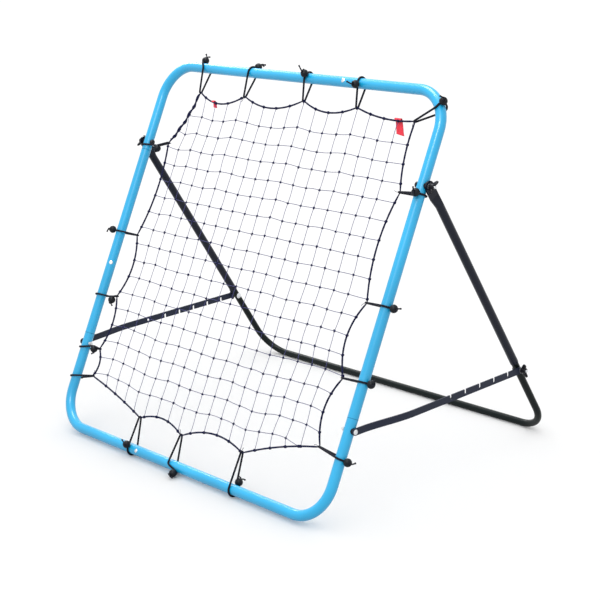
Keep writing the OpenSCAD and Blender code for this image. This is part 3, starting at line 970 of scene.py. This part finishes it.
def make_tag(name, node, width, drop, twirl):
    """A ribbon folded over the net's border, that hangs straight down behind the net."""
    low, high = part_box(node)
    over = Vector(((low.x + high.x) / 2, (low.y + high.y) / 2, high.z))
    top = over - lean_way(0, 2.4 * MM, 0)
    # The fold's radius and the short front end, in mm
    bend = 2.7
    front = drop * 0.08
    total = front + math.pi * bend + drop
    steps = 40
    threads = 10
    shape = Shape()
    for i in range(steps + 1):
        run = total * i / steps
        if run < front:
            back, height = -bend, run - front
        elif run < front + math.pi * bend:
            turn = (run - front) / bend
            back, height = -bend * math.cos(turn), bend * math.sin(turn)
        else:
            back, height = bend, front + math.pi * bend - run
        share = max(0.0, -height / drop) if back > 0 else 0.0
        turned = twirl * share
        for k in range(threads + 1):
            side = (k / threads - 0.5) * width
            wave = 1.2 * math.sin(4.2 * share + 0.13 * side) * share
            slant = -0.25 * side * share
            across = side * math.cos(turned) + 2 * share ** 2
            away = back + wave + side * math.sin(turned)
            shape.points.append(top + Vector((across, away, height + slant)) * MM)
    for i in range(steps):
        for k in range(threads):
            a = i * (threads + 1) + k
            b = a + threads + 1
            c, d = total * MM * i / steps, total * MM * (i + 1) / steps
            u, v = k / threads, (k + 1) / threads
            shape.face([a, a + 1, b + 1, b], [(u, c), (v, c), (v, d), (u, d)], 0)
    tag = shape.build(name, [RED])
    thick = tag.modifiers.new("thickness", "SOLIDIFY")
    thick.thickness = 0.5 * MM
    thick.offset = 0
    bake(tag)
    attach(tag, "net")
    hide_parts(node)


# ---------- wing nuts, threads and bolt caps ----------

def make_wing_nut(node, body, turn):
    """A moulded wing nut: a ribbed hub with a bore, and two swept oval wings.

    Returns the middle of its base and the way out along its bolt.
    """
    low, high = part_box(node)
    middle = (low + high) / 2
    right = 1 if middle.x > 0 else -1
    base = Vector((low.x if right > 0 else high.x, middle.y, middle.z))
    out = Vector((right, 0, 0))
    up = Vector((0, -math.sin(turn), math.cos(turn)))
    side = out.cross(up)
    shape = Shape()
    bore_r = 3.35
    hub = [
        (bore_r, 0), (7.0, 0), (7.5, 0.5), (7.3, 5.0), (6.5, 10.6), (5.9, HUB_L),
        (bore_r, HUB_L), (bore_r, 0),
    ]
    shape.lathe([(r * MM, h * MM) for r, h in hub], base, out, 40)
    ribs = 10
    for rib in range(ribs):
        angle = 2 * math.pi * (rib + 0.5) / ribs
        way = up * math.cos(angle) + side * math.sin(angle)
        foot = base + way * 6.9 * MM + out * 1.2 * MM
        top = base + way * 6.4 * MM + out * 9.5 * MM
        shape.tube([foot, top], 0.75 * MM, 8)
    for wing in (up, -up):
        for k in range(9):
            share = k / 8
            centre = base + wing * (5.6 + 7.2 * share) * MM + out * (4.6 + 4.4 * share) * MM
            radius = (3.6 + 2.0 * math.sin(math.pi * (0.15 + 0.6 * share))) * MM
            thin = 0.42 + 0.05 * math.sin(math.pi * share)
            shape.ball(centre, radius, side, thin)
    nut = shape.build(node + "_moulded", [PLASTIC])
    fuse = nut.modifiers.new("fuse", "REMESH")
    fuse.mode = "VOXEL"
    fuse.voxel_size = 0.00045
    ease = nut.modifiers.new("ease", "SMOOTH")
    ease.factor = 0.5
    ease.iterations = 6
    bake(nut)
    nut.data.materials.clear()
    nut.data.materials.append(PLASTIC)
    nut.data.polygons.foreach_set("use_smooth", [True] * len(nut.data.polygons))
    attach(nut, body)
    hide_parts(node)
    return base, out


def make_thread(name, body, base, out):
    """The last turns of a bolt's thread, past its wing nut, and its bevelled end."""
    start = HUB_L + 0.1
    end = HUB_L + 2.6
    shape = Shape()
    side = out.orthogonal().normalized()
    other = out.cross(side)
    turns = (end - start) / THREAD_PITCH
    steps = round(16 * turns)
    route = []
    for k in range(steps + 1):
        share = k / steps
        turn = 2 * math.pi * turns * share
        way = side * math.cos(turn) + other * math.sin(turn)
        route.append(base + out * (start + (end - start) * share) * MM + way * BOLT_R)
    shape.tube(route, 0.32 * MM, 6)
    cap = [(3.0, end), (2.7, end + 0.35), (1.2, end + 0.45), (0.0, end + 0.45)]
    shape.lathe([(r * MM, h * MM) for r, h in cap], base, out, 24)
    thread = shape.build(name, [ZINC])
    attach(thread, body)


# How far a hinge bolt's dome starts from the inner face of its side tube
HEAD_IN = 4.2 * MM


def make_bolt_caps():
    """Domed black heads with a hex socket on the inner side of both hinge bolts."""
    low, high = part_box("hinge_bolts")
    middle = (low + high) / 2
    inner = HALF_W - TUBE_R - HEAD_IN
    for name, right in (("left", -1), ("right", 1)):
        shape = Shape()
        place = Vector((right * inner, middle.y, middle.z))
        dome = [(7.0, 0.0), (6.9, 0.7), (6.2, 1.5), (4.6, 2.1), (3.0, 2.3), (2.8, 2.2)]
        shape.lathe([(r * MM, h * MM) for r, h in dome], place, Vector((-right, 0, 0)), 36)
        well = [(2.8, 2.2), (2.5, 1.9), (2.5, 0.4), (0.0, 0.3)]
        shape.lathe([(r * MM, h * MM) for r, h in well], place, Vector((-right, 0, 0)), 6)
        cap = shape.build(f"{name}_hinge_bolt_cap", [DARK_STEEL])
        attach(cap, "front_frame")


def make_fasteners():
    """Each side's two wing nuts with their bolts' ends, and the hinge bolts' heads."""
    hinge_turn = math.radians(-48)
    clamp_turn = math.radians(11)
    for name in ("left", "right"):
        base, out = make_wing_nut(f"{name}_hinge_wing_nut", f"{name}_hinge_nut", hinge_turn)
        make_thread(f"{name}_hinge_thread", "front_frame", base, out)
        base, out = make_wing_nut(f"{name}_clamp_wing_nut", f"{name}_clamp_nut", clamp_turn)
        make_thread(f"{name}_clamp_thread", f"{name}_brace", base, out)
    make_bolt_caps()


# ---------- CAD parts that stay ----------

CAD_LOOKS = {
    "top_frame_section": BLUE,
    "bottom_frame_section": BLUE,
    "left_side_tube": BLUE,
    "right_side_tube": BLUE,
    "frame_hole_plugs": ZINC,
    "hinge_bolts": DARK_STEEL,
    "hinge_spacers": PLASTIC,
    "hinge_washers": ZINC,
    "brace_pivot_bolts": ZINC,
    "brace_pivot_spacers": PLASTIC,
    "brace_pivot_nuts": ZINC,
    "left_stand_leg": BLACK,
    "right_stand_leg": BLACK,
    "stand_base_tube": BASE_BLACK_PAINTED_SHADE,
    "clamp_bolt_heads": ZINC,
    "left_brace_bar": BAR_BLACK,
    "right_brace_bar": BAR_BLACK,
    "left_clamp_stud": ZINC,
    "right_clamp_stud": ZINC,
}
EDGED = ("left_brace_bar", "right_brace_bar", "hinge_washers", "brace_pivot_nuts")


def dress_cad_parts():
    """Gives each CAD part that shows its material, and the flat ones a broken edge."""
    for name, material in CAD_LOOKS.items():
        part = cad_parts[name]
        part.data.materials.clear()
        part.data.materials.append(material)
        if name in EDGED:
            edge = part.modifiers.new("edge", "BEVEL")
            edge.width = 0.35 * MM
            edge.segments = 2
            edge.limit_method = "ANGLE"
            edge.angle_limit = math.radians(50)


def make_seams():
    """A darker blue ring where each side tube meets the curved frame sections."""
    low_seam = (bottom_high.z - FRAME_Z - TUBE_R * math.sin(LEAN)) / math.cos(LEAN)
    high_seam = (top_low.z - FRAME_Z + TUBE_R * math.sin(LEAN)) / math.cos(LEAN)
    ring = [(12.3, -0.6), (12.68, -0.4), (12.68, 0.4), (12.3, 0.6)]
    shape = Shape()
    for right in (-1, 1):
        for seam in (low_seam, high_seam):
            place = lean_place(right * HALF_W, 0, seam)
            shape.lathe([(r * MM, h * MM) for r, h in ring], place, lean_way(0, 0, 1), 40)
    seams = shape.build("frame_seams", [SEAM])
    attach(seams, "front_frame")


def make_floor():
    """A wide pale floor, which the lamps leave out."""
    shape = Shape()
    reach = 30.0
    shape.points = [
        Vector((-reach, -reach, 0)),
        Vector((reach, -reach, 0)),
        Vector((reach, reach, 0)),
        Vector((-reach, reach, 0)),
    ]
    shape.face([0, 1, 2, 3], [(0, 0), (1, 0), (1, 1), (0, 1)], 0)
    floor = shape.build("floor", [pale_floor()])
    lamp_receivers.objects.link(floor)
    lamp_receivers.collection_objects[0].light_linking.link_state = "EXCLUDE"


make_camera()
make_light()
make_floor()
dress_cad_parts()
make_seams()
make_loops()
strand_ends = make_net()
make_border(strand_ends)
make_tag("red_tag_large", "large_ribbon_tag", 20, 36, 0.35)
make_tag("red_tag_small", "small_ribbon_tag", 10, 16, 0.7)
make_fasteners()
